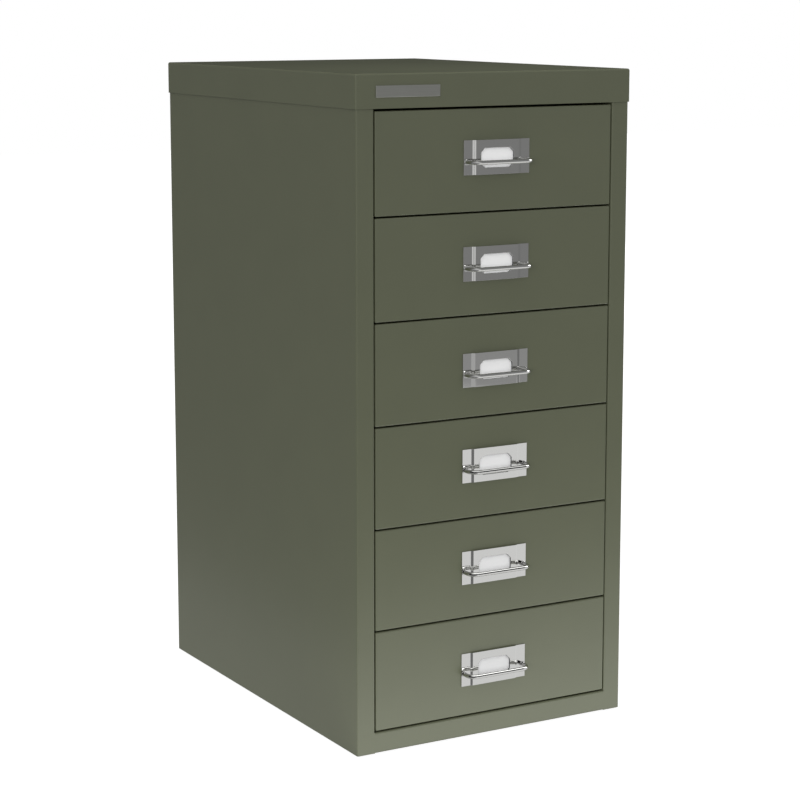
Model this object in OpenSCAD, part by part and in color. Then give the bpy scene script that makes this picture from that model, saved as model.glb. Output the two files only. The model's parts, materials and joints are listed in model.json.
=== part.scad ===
// Small six-drawer steel cabinet, in millimetres.
// +X is to the right seen from the front, +Y to the back and +Z up. The origin is on the floor, at
// the centre of the ground that the cabinet takes up with its pulls.

/* [Case] */
// Width over the cap
cap_w = 279; // [240:1:340]
// Depth over the cap
cap_d = 380; // [320:1:480]
// Height of the cap's skirt, top included
cap_skirt = 29.4; // [24:0.2:40]
// Thickness of the case's sheet steel
case_sheet = 1; // [0.8:0.1:1.2]
// Outer radius of the cap's edges
cap_edge_r = 1.8; // [1.4:0.1:3]
// Inside radius of the folds in the case
case_bend = 0.5; // [0.3:0.1:0.9]
// Visible width of each front stile
stile_w = 17.4; // [15:0.1:24]
// Width of the side panels' rear flanges
rear_flange = 16; // [10:0.5:30]
// Visible height of the rail below the drawers
rail_h = 18.6; // [16:0.2:40]
// Depth of the ledge on top of the bottom rail
rail_ledge = 14; // [8:0.5:30]
// Height of the base pan's turned-up side and rear edges
pan_flange = 15; // [8:0.5:30]
// Depth of the rail behind the cap's front skirt
top_rail_d = 22; // [12:0.5:40]
// Height of the stiffening lip on the top rail
top_rail_lip = 10; // [4:0.5:16]
// Depth of the back panel's top flange
back_flange = 13; // [6:0.5:20]
// Gap where the folded parts stay clear of each other
seam_gap = 0.5; // [0.3:0.1:1]

/* [Drawer fronts] */
// Height of one drawer front
front_h = 88.6; // [80:0.2:140]
// Gap between two drawer fronts
row_gap = 1.4; // [0.8:0.1:3]
// Gap between the top drawer front and the cap
top_gap = 2; // [1:0.1:4]
// Gap beside the drawer fronts
side_gap = 1; // [0.6:0.1:1.6]
// Thickness of a drawer front from face to back
front_d = 12; // [10:0.5:18]
// Width of the rims folded inward at the back of a drawer front
front_rim = 18; // [12:0.5:24]
// Outer radius of a drawer front's edges
front_edge_r = 1.2; // [1:0.1:2]

/* [Drawer trays] */
// Thickness of the drawers' sheet steel
drawer_sheet = 0.8; // [0.6:0.1:1]
// Inside radius of the folds in a tray
tray_bend = 1; // [0.5:0.1:2]
// From a drawer front's side edge in to the tray's side
tray_inset = 9.6; // [8:0.2:14]
// From a drawer front's lower edge up to the tray's floor
tray_low = 6; // [4:0.5:12]
// From a drawer front's upper edge down to the top of the tray's flanges
flange_low = 12.6; // [10:0.2:30]
// From a drawer front's upper edge down to the top of the tray's front wall
upstand_low = 6.6; // [4:0.2:12]
// From the tray's side in to the ends of the front wall's raised part
upstand_inset = 10; // [6:0.5:30]
// Depth of the hem along the top of a tray's back wall
hem_d = 6; // [3:0.5:12]
// Space between a closed tray and the back panel
back_gap = 22; // [16:0.5:50]

/* [Runners] */
// Thickness of the runners' sheet steel
runner_sheet = 1; // [0.8:0.1:1.5]
// Height of the slot in a runner
runner_room = 11; // [9:0.5:16]
// Gap between a tray's side and the runner's lips
lip_gap = 1.6; // [1:0.1:3]
// How far the runners reach past the back of a closed tray
runner_past = 6; // [3:0.5:10]
// Running gap at the nylon pieces
run_gap = 0.3; // [0.2:0.05:0.5]
// Height of the nylon support on a runner's lower lip
clip_h = 2.9; // [2:0.1:4]
// Length of the nylon support on a runner's lower lip
clip_l = 16.5; // [10:0.5:30]
// Thickness of the support's nose, which the closed drawer front meets
clip_nose = 2.2; // [1.5:0.1:5]
// Length of the support's tongue under the lip
clip_tongue = 8; // [4:0.5:15]
// Thickness of the support's tongue
clip_tongue_t = 1.5; // [1:0.1:2.5]
// Length of the nylon glide at the back of a tray's flange
glide_l = 40; // [20:1:80]
// Thickness of a glide outside the flange's edge
glide_cheek = 2.3; // [1.5:0.1:3]
// Diameter of the peg that holds a glide in its flange
peg_d = 4; // [3:0.1:5]
// Gap around that peg
peg_gap = 0.05; // [0.02:0.01:0.2]
// Depth of a rear upright's flange along the runners
upright_lap = 22; // [12:1:60]

/* [Handles] */
// Width of a handle plate
plate_w = 66.8; // [56:0.2:90]
// Height of a handle plate
plate_h = 30; // [26:0.2:40]
// Thickness of a handle plate's sheet
plate_sheet = 0.8; // [0.6:0.1:1.2]
// Width of the plate's flat ends, which the pull passes through
plate_end = 8.9; // [7:0.1:14]
// Width of the slope up to the plate's raised middle
plate_slope = 2.4; // [1:0.1:4]
// Height of the raised middle over the flat ends
plate_rise = 1.3; // [0.8:0.1:3]
// From the side of the raised middle in to the window
window_side = 4.85; // [3:0.05:8]
// From the plate's top edge down to the window
window_top = 7; // [4:0.1:9]
// From the plate's bottom edge up to the window
window_bottom = 6; // [4:0.1:9]
// Cut across each corner of the window
window_cut = 4; // [1:0.1:5]
// Diameter of the pull's wire
wire_d = 3.8; // [3:0.1:5]
// Metal left between the wire's hole and the plate's side edge
wire_edge = 0.6; // [0.4:0.1:2.5]
// How far a pull stands out from the drawer front
pull_reach = 15; // [13:0.5:30]
// Radius of the pull's corners, at the middle of the wire
pull_bend = 8; // [4:0.1:9]
// How far the pull lies below the middle of its plate
pull_drop = 3.7; // [0:0.1:10]
// Gap around the wire in the plate and the drawer front
wire_gap = 0.1; // [0.05:0.05:0.3]
// How far the riveted head behind the drawer front stands out around the wire
rivet_rim = 1.6; // [1:0.1:2.5]
// Thickness of that head
rivet_t = 1.2; // [0.8:0.1:2]
// How far the collar in front of the plate stands out around the wire
collar_rim = 0.7; // [0.4:0.1:1]
// Thickness of that collar
collar_t = 0.8; // [0.5:0.1:1.5]
// Height of the plate above its drawer front's middle, first and fourth drawers
rise_a = 2.4; // [-10:0.1:10]
// Height of the plate above its drawer front's middle, second and fifth drawers
rise_b = 0.6; // [-10:0.1:10]
// Height of the plate above its drawer front's middle, third and sixth drawers
rise_c = -2.6; // [-10:0.1:10]
// Thickness of a label card
card_t = 0.4; // [0.2:0.05:0.6]
// Gap between a label card and the holder around it
card_gap = 0.5; // [0.2:0.1:1]
// How far the top of a label card stays below the plate's top edge
card_low = 2; // [0.5:0.1:4]

/* [Nameplate] */
// Width of the blank nameplate
badge_w = 62.5; // [20:0.5:90]
// Height of the blank nameplate
badge_h = 10; // [6:0.2:14]
// Thickness of the blank nameplate
badge_t = 0.8; // [0.6:0.1:2]
// Radius of the nameplate's edges
badge_edge_r = 0.4; // [0.2:0.05:0.5]
// From the cap's left side to the nameplate
badge_left = 19.5; // [8:0.5:60]
// From the cap's top to the nameplate
badge_top = 10; // [4:0.2:12]

/* [Feet] */
// Diameter of a foot
foot_d = 18; // [12:0.5:30]
// Height of a foot under the case
foot_h = 1.5; // [1:0.1:5]
// Diameter of a foot's stem
stem_d = 6; // [4:0.2:10]
// Gap around the stem in the base pan
stem_gap = 0.05; // [0.02:0.01:0.2]
// Diameter of the snap head above the base pan
snap_d = 8; // [7:0.2:12]
// Thickness of the snap head
snap_t = 1.5; // [1:0.1:3]
// From a side panel in to the middle of a foot
foot_in_x = 25; // [18:1:60]
// From the front or back panel in to the middle of a foot
foot_in_y = 30; // [20:1:60]

/* [Hidden] */
drawer_count = 6;
drawers = [1 : drawer_count];
sides = [-1, 1];

$fn = 48;
// How far a cutting shape runs past the face that it cuts
over = 1;

green = "#5f6351";
inner_green = "#565a49";
chrome = "#c9cbcc";
card_white = "#f2f2ee";
nylon = "#e4e1d6";
rubber = "#2b2b2b";
badge_grey = "#7f8078";

// Case, across
body_w = cap_w - 2 * case_sheet;
side_in = body_w / 2 - case_sheet;
open_half = body_w / 2 - stile_w;
back_half = side_in - case_bend - seam_gap;

// Case, front to back. front_y is the plane of the stiles and of the closed drawer fronts.
front_y = -(cap_d - (pull_reach - case_sheet)) / 2 + case_sheet;
cap_front_y = front_y - case_sheet;
back_y = cap_front_y + cap_d - case_sheet;
back_in = back_y - 2 * case_sheet;

// Case, upward
rail_top = foot_h + rail_h;
row_pitch = front_h + row_gap;
cap_low = rail_top + row_gap + drawer_count * row_pitch - row_gap + top_gap;
cap_top = cap_low + cap_skirt;
cap_in_r = cap_edge_r - case_sheet;
body_top = cap_top - case_sheet - cap_in_r - seam_gap;

// Drawers. Heights in a drawer are counted from its front's lower edge.
front_w = 2 * (open_half - side_gap);
tray_half = front_w / 2 - tray_inset;
tray_front_y = front_y + front_d;
tray_back_y = back_in - back_gap;
flange_top = front_h - flange_low;
tray_wall_top = flange_top - tray_bend - drawer_sheet;

// Runners. Heights are counted like those in the drawers.
web_in = open_half + case_sheet;
web_out = web_in + runner_sheet;
lip_in = tray_half + lip_gap;
flange_edge = web_in - run_gap - glide_cheek;
lip_top = flange_top - drawer_sheet - run_gap - clip_h;
slot_top = lip_top + runner_room;
lip_front_y = tray_front_y + run_gap + clip_nose;
return_end_y = lip_front_y - seam_gap;
runner_back_y = tray_back_y + runner_past;
clip_back_y = lip_front_y + clip_l;
glide_front_y = tray_back_y - glide_l;
travel = glide_front_y - clip_back_y - run_gap;

// Handles
hole_d = wire_d + 2 * wire_gap;
wire_x = (plate_w - hole_d) / 2 - wire_edge;
mid_half = plate_w / 2 - plate_end - plate_slope;
pocket_half = mid_half - card_gap;

function drawer_z(n) = rail_top + row_gap + (drawer_count - n) * row_pitch;
function plate_z(n) = drawer_z(n) + front_h / 2 + [rise_a, rise_b, rise_c][(n - 1) % 3];
function pull_z(n) = plate_z(n) - pull_drop;
function unit(v) = v / norm(v);

// ---------------------------------------------------------------- shared shapes

// A straight run of sheet seen end-on, from a to b along X or Y, a and b on the sheet's middle.
module flat_run(a, b, t) {
    if (a.y == b.y)
        translate([min(a.x, b.x), a.y - t / 2]) square([abs(b.x - a.x), t]);
    else
        translate([a.x - t / 2, min(a.y, b.y)]) square([t, abs(b.y - a.y)]);
}

// A quarter bend between a run that comes in along u and one that leaves along v.
module quarter_bend(corner, u, v, t, r_in) {
    r = r_in + t / 2;
    reach = r_in + t;
    translate(corner - r * u + r * v)
        intersection() {
            difference() {
                circle(r_in + t);
                circle(r_in);
            }
            translate([min(0, (u - v).x) * reach, min(0, (u - v).y) * reach]) square(reach);
        }
}

// A folded sheet seen end-on: square-cornered points on its middle, thickness, inside radius.
module folded_sheet(points, t, r_in) {
    last = len(points) - 1;
    r = r_in + t / 2;
    for (i = [0 : last - 1]) {
        d = unit(points[i + 1] - points[i]);
        flat_run(points[i] + (i > 0 ? r : 0) * d, points[i + 1] - (i < last - 1 ? r : 0) * d, t);
    }
    for (i = [1 : last - 1])
        quarter_bend(points[i], unit(points[i] - points[i - 1]), unit(points[i + 1] - points[i]), t, r_in);
}

// Stands a shape drawn in X and Z upright and runs it along Y.
module along_y(y0, y1) {
    translate([0, y1, 0]) rotate([90, 0, 0]) linear_extrude(y1 - y0) children();
}

// Runs a shape drawn in Y and Z along X.
module along_x(x0, x1) {
    translate([x0, 0, 0]) rotate([90, 0, 90]) linear_extrude(x1 - x0) children();
}

// Draws a piece for the right side, or mirrors it to the left when side is -1.
module on_side(side) {
    mirror([side < 0 ? 1 : 0, 0, 0]) children();
}

// Outline w wide and centred, from 0 to h, with its upper corners rounded.
module round_topped(w, h, r) {
    translate([-w / 2, 0]) square([w, h - r]);
    translate([r - w / 2, 0]) square([w - 2 * r, h]);
    for (side = sides)
        translate([side * (w / 2 - r), h - r]) circle(r);
}

// A block on the floor, w wide and centred, d deep from y = 0, with its top edges and its upright
// corners rounded: what three round-cornered bars have in common.
module rounded_block(w, d, h, r) {
    translate([0, d / 2, 0])
        intersection() {
            along_y(-d / 2, d / 2) round_topped(w, h, r);
            along_x(-w / 2, w / 2) round_topped(d, h, r);
            linear_extrude(h)
                intersection() {
                    translate([0, -d / 2]) round_topped(w, d, r);
                    translate([0, d / 2]) mirror([0, 1]) round_topped(w, d, r);
                }
        }
}

// Turns a block's top to face the front, its foot on the plane y and its lower edge at height z.
module facing_front(y, z) {
    translate([0, y, z]) rotate([90, 0, 0]) children();
}

// ---------------------------------------------------------------- case

// Folded lid pressed over the top of the body.
module top_cap() {
    color(green)
        translate([0, cap_front_y, cap_low])
            difference() {
                rounded_block(cap_w, cap_d, cap_skirt, cap_edge_r);
                translate([0, case_sheet, -over])
                    rounded_block(body_w, cap_d - 2 * case_sheet, cap_skirt - case_sheet + over, cap_in_r);
            }
}

// Folded rail behind the cap's front skirt, between the two stiles.
module top_rail() {
    half = case_sheet / 2;
    y = front_y + half;
    top = cap_top - case_sheet - half;
    low = cap_low + half;
    color(green)
        along_x(-open_half, open_half)
            folded_sheet([[front_y + top_rail_d / 2, top], [y, top], [y, low],
                          [front_y + top_rail_d, low], [front_y + top_rail_d, low + top_rail_lip]],
                         case_sheet, case_bend);
}

// Side wall with its rear flange and front stile. Above the bottom rail the stile's edge is
// folded back into the case, and beside the rail it is cut square, so the two lie flush.
module side_panel(side) {
    half = case_sheet / 2;
    x = side_in + half;
    y_front = front_y + half;
    y_back = back_y - half;
    rear = [[body_w / 2 - rear_flange, y_back], [x, y_back], [x, y_front]];
    color(green)
        on_side(side) {
            translate([0, 0, foot_h])
                linear_extrude(rail_h)
                    folded_sheet(concat(rear, [[open_half, y_front]]), case_sheet, case_bend);
            translate([0, 0, rail_top])
                linear_extrude(body_top - rail_top)
                    folded_sheet(concat(rear, [[open_half + half, y_front], [open_half + half, return_end_y]]),
                                 case_sheet, case_bend);
        }
}

// Back sheet, seated on the side panels' rear flanges from the inside.
module back_panel() {
    half = case_sheet / 2;
    y = back_in + half;
    top = cap_top - case_sheet - half;
    color(green)
        along_x(-back_half, back_half)
            folded_sheet([[y - back_flange, top], [y, top], [y, foot_h]], case_sheet, case_bend);
}

// Floor of the case. Its front edge is turned up into the visible bottom rail.
module base_pan() {
    half = case_sheet / 2;
    floor_z = foot_h + half;
    flange_z = foot_h + pan_flange;
    color(green)
        difference() {
            union() {
                along_x(-open_half, open_half)
                    folded_sheet([[back_in - half, flange_z], [back_in - half, floor_z],
                                  [front_y + half, floor_z], [front_y + half, rail_top - half],
                                  [front_y + rail_ledge, rail_top - half]], case_sheet, case_bend);
                along_y(return_end_y + seam_gap, back_in - case_sheet - case_bend - seam_gap)
                    folded_sheet([[-side_in + half, flange_z], [-side_in + half, floor_z],
                                  [side_in - half, floor_z], [side_in - half, flange_z]],
                                 case_sheet, case_bend);
            }
            at_feet() cylinder(h = case_sheet + foot_h + over, d = stem_d + 2 * stem_gap);
        }
}

// Z-shaped post in a rear corner, which carries the back ends of the runners.
module rear_upright(side) {
    half = case_sheet / 2;
    y = runner_back_y - half;
    color(inner_green)
        on_side(side)
            translate([0, 0, foot_h + pan_flange + seam_gap])
                linear_extrude(body_top - foot_h - pan_flange - 2 * seam_gap - case_sheet)
                    folded_sheet([[side_in - half, back_in - 2 * case_sheet], [side_in - half, y],
                                  [web_out + half, y], [web_out + half, y - upright_lap]],
                                 case_sheet, case_bend);
}

// Blank plate on the cap's front.
module nameplate() {
    color(badge_grey)
        translate([badge_w / 2 + badge_left - cap_w / 2, 0, 0])
            facing_front(cap_front_y, cap_top - badge_top - badge_h)
                rounded_block(badge_w, badge_h, badge_t, badge_edge_r);
}

module at_feet() {
    for (side = sides)
        for (y = [front_y + foot_in_y, back_y - foot_in_y])
            translate([side * (body_w / 2 - foot_in_x), y, 0]) children();
}

// Four low feet, each snapped through a hole in the base pan.
module feet() {
    color(rubber)
        at_feet() {
            cylinder(h = foot_h, d = foot_d);
            cylinder(h = foot_h + case_sheet + snap_t, d = stem_d);
            translate([0, 0, foot_h + case_sheet]) cylinder(h = snap_t, d = snap_d);
        }
}

// ---------------------------------------------------------------- runners

// Pair of open channels for one drawer. A tongue of the web is welded behind the stile's fold, and
// the back end is welded to the rear upright.
module runners(n) {
    half = runner_sheet / 2;
    low = lip_top - half;
    high = slot_top + half;
    tongue_low = lip_top + case_bend;
    tongue_front_y = front_y + case_sheet + case_bend + seam_gap;
    color(inner_green)
        for (side = sides)
            on_side(side)
                translate([0, 0, drawer_z(n)]) {
                    along_y(lip_front_y, runner_back_y)
                        folded_sheet([[lip_in, low], [web_in + half, low], [web_in + half, high], [lip_in, high]],
                                     runner_sheet, case_bend);
                    translate([web_in, tongue_front_y, tongue_low])
                        cube([runner_sheet, lip_front_y - tongue_front_y + over, runner_room - 2 * case_bend]);
                }
}

// Nylon supports pushed onto the front ends of the runners' lower lips. They carry the tray's
// flange, cushion the closing drawer front, and stop the glide when the drawer is fully out.
module runner_clips() {
    under = lip_top - runner_sheet - clip_tongue_t;
    x0 = lip_in + seam_gap;
    w = open_half - run_gap - x0;
    nose_y = lip_front_y - clip_nose;
    color(nylon)
        for (n = drawers)
            for (side = sides)
                on_side(side)
                    translate([x0, 0, drawer_z(n)]) {
                        translate([0, nose_y, lip_top]) cube([w, clip_back_y - nose_y, clip_h]);
                        translate([0, nose_y, under]) cube([w, clip_nose, clip_h + lip_top - under]);
                        translate([0, nose_y, under]) cube([w, clip_nose + clip_tongue, clip_tongue_t]);
                    }
}

// ---------------------------------------------------------------- drawers

// Outline of a tray's end walls in X and Z, with the rounded lower corners of the folds.
module tray_end_outline() {
    r = tray_bend + drawer_sheet;
    translate([-tray_half + r, tray_low]) square([2 * (tray_half - r), r]);
    translate([-tray_half, tray_low + r]) square([2 * tray_half, tray_wall_top - tray_low - r]);
    for (side = sides)
        translate([side * (tray_half - r), tray_low + r]) circle(r);
}

module at_glide_pegs() {
    for (side = sides)
        translate([side * (lip_in + flange_edge) / 2, tray_back_y - glide_l / 2, 0]) children();
}

// Folded steel tray with flanges turned outward along its top edges.
module drawer_tray(n) {
    half = drawer_sheet / 2;
    wall = tray_half - half;
    top = flange_top - half;
    floor_z = tray_low + half;
    upstand = tray_half - upstand_inset;
    color(inner_green)
        translate([0, 0, drawer_z(n)])
            difference() {
                union() {
                    along_y(tray_front_y, tray_back_y)
                        folded_sheet([[-flange_edge, top], [-wall, top], [-wall, floor_z],
                                      [wall, floor_z], [wall, top], [flange_edge, top]],
                                     drawer_sheet, tray_bend);
                    along_y(tray_front_y, tray_front_y + drawer_sheet) tray_end_outline();
                    along_y(tray_back_y - drawer_sheet, tray_back_y) tray_end_outline();
                    translate([-upstand, tray_front_y, tray_low + over])
                        cube([2 * upstand, drawer_sheet, front_h - upstand_low - tray_low - over]);
                    translate([-upstand, tray_back_y - hem_d, tray_wall_top - drawer_sheet])
                        cube([2 * upstand, hem_d, drawer_sheet]);
                }
                at_glide_pegs()
                    translate([0, 0, flange_top - drawer_sheet - over])
                        cylinder(h = drawer_sheet + 2 * over, d = peg_d + 2 * peg_gap);
            }
}

// Hollow pressed drawer front, with a rim folded inward at the back that the tray is welded to.
module drawer_front(n) {
    t = drawer_sheet;
    hollow_r = front_edge_r - t;
    color(green)
        difference() {
            facing_front(tray_front_y, drawer_z(n)) rounded_block(front_w, front_h, front_d, front_edge_r);
            facing_front(tray_front_y - t, drawer_z(n) + t)
                rounded_block(front_w - 2 * t, front_h - 2 * t, front_d - 2 * t, hollow_r);
            translate([-front_w / 2 + front_rim, tray_front_y - t - over, drawer_z(n) + front_rim])
                cube([front_w - 2 * front_rim, t + 2 * over, front_h - 2 * front_rim]);
            at_wires(n, front_y - over) cylinder(h = t + 2 * over, d = hole_d);
        }
}

// Places a shape at both ends of a drawer's pull, its Z axis turned to point into the cabinet.
module at_wires(n, y) {
    for (side = sides)
        translate([side * wire_x, y, pull_z(n)]) rotate([-90, 0, 0]) children();
}

// Outline in X and Y of the handle plate's sheet: flat ends, slopes and a raised middle.
module plate_outline() {
    t = plate_sheet;
    end = plate_w / 2;
    foot = end - plate_end;
    // The slope's inner face is set in so that the sheet keeps its thickness round the folds.
    set_in = t * tan(atan2(plate_rise, plate_slope) / 2);
    right = [[end, 0], [end, -t], [foot, -t], [mid_half, -t - plate_rise]];
    right_in = [[mid_half - set_in, -plate_rise], [foot - set_in, 0]];
    left = [for (i = [3 : -1 : 0]) [-right[i].x, right[i].y]];
    left_in = [for (i = [1 : -1 : 0]) [-right_in[i].x, right_in[i].y]];
    polygon(concat(right, left, left_in, right_in));
}

// Eight-sided window in X and Z, counted from the plate's bottom edge.
module window_outline() {
    x = mid_half - window_side;
    top = plate_h - window_top;
    cut = window_cut;
    polygon([[-x + cut, window_bottom], [x - cut, window_bottom], [x, window_bottom + cut], [x, top - cut],
             [x - cut, top], [-x + cut, top], [-x, top - cut], [-x, window_bottom + cut]]);
}

// Handle plate and label holder, with a lip that closes the label's pocket at the bottom.
module handle_plate(n) {
    t = plate_sheet;
    low = plate_z(n) - plate_h / 2;
    color(chrome)
        difference() {
            union() {
                translate([0, front_y, low]) linear_extrude(plate_h) plate_outline();
                translate([-mid_half + t, front_y - plate_rise - t / 2, low])
                    cube([2 * (mid_half - t), plate_rise + t / 2, t]);
            }
            along_y(front_y - plate_rise - t - over, front_y + over)
                translate([0, low]) window_outline();
            at_wires(n, front_y - t - over) cylinder(h = t + 2 * over, d = hole_d);
        }
}

// Wire loop that the fingers pull, riveted through the plate and the drawer front.
module pull(n) {
    bar_y = front_y - pull_reach + wire_d / 2;
    arm_back_y = front_y + drawer_sheet + rivet_t;
    arm_front_y = bar_y + pull_bend;
    color(chrome) {
        at_wires(n, arm_front_y) cylinder(h = arm_back_y - arm_front_y, d = wire_d);
        at_wires(n, front_y + drawer_sheet) cylinder(h = rivet_t, d = wire_d + 2 * rivet_rim);
        at_wires(n, front_y - plate_sheet - collar_t) cylinder(h = collar_t, d = wire_d + 2 * collar_rim);
        translate([0, 0, pull_z(n)])
            for (side = sides)
                on_side(side)
                    translate([wire_x - pull_bend, arm_front_y, 0])
                        rotate([0, 0, -90])
                            rotate_extrude(angle = 90) translate([pull_bend, 0]) circle(d = wire_d);
        translate([-wire_x + pull_bend, bar_y, pull_z(n)])
            rotate([0, 90, 0]) cylinder(h = 2 * (wire_x - pull_bend), d = wire_d);
    }
}

// Card in the label holder, lying on the drawer front.
module label_card(n) {
    low = plate_z(n) - plate_h / 2 + plate_sheet;
    color(card_white)
        translate([-pocket_half, front_y - card_t, low])
            cube([2 * pocket_half, card_t, plate_h - plate_sheet - card_low]);
}

// Pair of nylon glides at the back ends of a tray's flanges, each pegged through its flange.
module glides(n) {
    x0 = lip_in + run_gap;
    w = web_in - run_gap - x0;
    low = lip_top + run_gap;
    high = slot_top - run_gap;
    under = flange_top - drawer_sheet;
    color(nylon)
        translate([0, 0, drawer_z(n)]) {
            for (side = sides)
                on_side(side)
                    translate([x0, glide_front_y, 0]) {
                        translate([0, 0, low]) cube([w, glide_l, under - low]);
                        translate([0, 0, flange_top]) cube([w, glide_l, high - flange_top]);
                        translate([w - glide_cheek, 0, low]) cube([glide_cheek, glide_l, high - low]);
                    }
            at_glide_pegs() translate([0, 0, low]) cylinder(h = high - low, d = peg_d);
        }
}

// ---------------------------------------------------------------- the cabinet

top_cap();
top_rail();
side_panel(-1);  // left_side_panel
side_panel(1);  // right_side_panel
back_panel();
base_pan();
rear_upright(-1);  // left_rear_upright
rear_upright(1);  // right_rear_upright
nameplate();
feet();
runner_clips();
for (n = drawers) {
    runners(n);
    drawer_tray(n);
    drawer_front(n);
    handle_plate(n);
    pull(n);
    label_card(n);
    glides(n);
}
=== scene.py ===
# %% [markdown]
# # A small steel drawer cabinet
#
# The real thing is folded sheet steel under a baked powder coat: a case with two sides, a lid that
# is pressed over it, and six drawers that hang in runners. Each drawer front carries a chromed
# plate that holds a label, and a wire pull that is riveted through the plate.
#
# The sides, the back and the sheet metal inside are already exact in the CAD frame, so they only
# need their finish. What the eye meets first is modelled again here with softer folds and finer
# edges: the lid, the drawer fronts, the plates, the pulls, the cards and the nameplate.

# %% The frame
import json
import math
import bmesh
import bpy
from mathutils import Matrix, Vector

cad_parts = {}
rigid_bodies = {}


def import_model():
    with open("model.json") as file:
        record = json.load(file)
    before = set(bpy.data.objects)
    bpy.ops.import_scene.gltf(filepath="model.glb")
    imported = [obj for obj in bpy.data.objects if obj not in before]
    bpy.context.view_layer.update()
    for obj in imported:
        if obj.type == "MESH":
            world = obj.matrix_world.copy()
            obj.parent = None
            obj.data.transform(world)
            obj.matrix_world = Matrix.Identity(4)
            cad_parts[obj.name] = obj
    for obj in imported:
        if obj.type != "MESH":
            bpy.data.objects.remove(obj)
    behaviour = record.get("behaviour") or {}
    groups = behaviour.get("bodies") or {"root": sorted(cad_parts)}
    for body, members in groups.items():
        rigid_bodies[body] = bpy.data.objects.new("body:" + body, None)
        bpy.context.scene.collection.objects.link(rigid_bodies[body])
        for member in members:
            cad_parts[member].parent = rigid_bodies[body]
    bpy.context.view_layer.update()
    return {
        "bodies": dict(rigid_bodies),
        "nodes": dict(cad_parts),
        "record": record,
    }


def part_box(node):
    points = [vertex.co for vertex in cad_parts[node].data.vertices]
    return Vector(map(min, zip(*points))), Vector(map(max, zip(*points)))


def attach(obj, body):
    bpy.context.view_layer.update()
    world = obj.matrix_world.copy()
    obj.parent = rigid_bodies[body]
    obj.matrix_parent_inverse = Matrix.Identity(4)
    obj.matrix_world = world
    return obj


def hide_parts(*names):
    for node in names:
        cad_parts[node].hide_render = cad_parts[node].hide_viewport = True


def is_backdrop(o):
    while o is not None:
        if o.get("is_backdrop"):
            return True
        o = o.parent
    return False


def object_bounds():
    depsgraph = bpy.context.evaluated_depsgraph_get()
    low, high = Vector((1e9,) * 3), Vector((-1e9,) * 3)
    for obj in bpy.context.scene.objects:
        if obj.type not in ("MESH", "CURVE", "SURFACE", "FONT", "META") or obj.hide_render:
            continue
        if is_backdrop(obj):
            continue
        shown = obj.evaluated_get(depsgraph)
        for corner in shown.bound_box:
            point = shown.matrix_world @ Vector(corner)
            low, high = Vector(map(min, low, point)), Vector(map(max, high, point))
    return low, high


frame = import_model()
MM = 0.001
DRAWERS = range(1, 1 + sum(1 for body in frame["bodies"] if body.startswith("drawer_")))
print("nodes", len(frame["nodes"]), "drawers", len(DRAWERS))

# %% [markdown]
# ## Camera
#
# The photograph was taken from the left, a little above the lid, with a long lens. A camera that
# stays level and shifts its lens far down would keep every upright exactly parallel, but that large
# shift would push the object out of every other view. So this camera tilts down by a few degrees
# and shifts only slightly, which puts the corners within a few pixels of the photograph's.

# %% Camera
CAMERA_PLACE = Vector((-1.0298, -1.8101, 0.6551))
CAMERA_TURN = -29.836
CAMERA_TILT = -9.190
CAMERA_SHIFT = -0.055
LENS_MM = 100.13
SENSOR_MM = 36

eye = bpy.data.objects.new("camera", bpy.data.cameras.new("camera"))
bpy.context.scene.collection.objects.link(eye)
eye.location = CAMERA_PLACE
eye.rotation_euler = (math.radians(90 + CAMERA_TILT), 0, math.radians(CAMERA_TURN))
eye.data.lens = LENS_MM
eye.data.sensor_width = SENSOR_MM
eye.data.shift_y = CAMERA_SHIFT
bpy.context.scene.camera = eye
bpy.context.scene.view_settings.view_transform = "Standard"

# %% [markdown]
# ## Two helpers for materials
#
# A colour picked on a screen is an sRGB value, and Cycles computes with linear light, so one
# function turns the first into the second. The other adds a node, sets its own properties, and
# fills or links its sockets, so that a material reads from top to bottom.

# %% Colour and node helpers
def linear(hex_colour):
    """The linear colour of an sRGB hex value such as #5e624d."""
    channels = [int(hex_colour[i:i + 2], 16) / 255 for i in (1, 3, 5)]
    return [c / 12.92 if c <= 0.04045 else ((c + 0.055) / 1.055) ** 2.4 for c in channels] + [1]


def add_node(tree, kind, sockets=None, **properties):
    """Adds a node of that kind; sockets maps input names to values or to other nodes' outputs."""
    made = tree.nodes.new(kind)
    for name, value in properties.items():
        setattr(made, name, value)
    for name, value in (sockets or {}).items():
        if isinstance(value, bpy.types.NodeSocket):
            tree.links.new(value, made.inputs[name])
        else:
            made.inputs[name].default_value = value
    return made


def start_material(name):
    """A material with an empty node tree, its output node and its Object coordinates."""
    material = bpy.data.materials.new(name)
    material.use_nodes = True
    tree = material.node_tree
    tree.nodes.clear()
    output = add_node(tree, "ShaderNodeOutputMaterial")
    place = add_node(tree, "ShaderNodeTexCoord").outputs["Object"]
    return material, tree, output, place


print("olive in linear light", [round(c, 3) for c in linear("#5e624d")])

# %% [markdown]
# ## Powder-coated steel
#
# The paint is a thermoset powder coat, sprayed dry and baked. It melts into an even satin skin
# with a faint orange peel, whose ripples lie 2 to 3 mm apart and a hundredth of a millimetre high.
# Under it the sheet isn't quite flat either: it waves by a fraction of a millimetre over a hand's
# width, and that makes broad reflections drift. The colour itself is nearly even, so only a very
# weak cloud is mixed in.
#
# The ripples could be real geometry or a picture. Two bumps from noise do the same with no extra
# faces, and their scales follow from millimetres. A polyester's index of refraction is about 1.5;
# here it is a little more, because the photographed paint gleams more at a glancing angle.

# %% Powder coat
PEEL_MM = 2.6
PEEL_HEIGHT_MM = 0.012
SHEET_WAVE_MM = 130
SHEET_WAVE_HEIGHT_MM = 0.16
CLOUD_MM = 45
PAINT_IOR = 1.62


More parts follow.
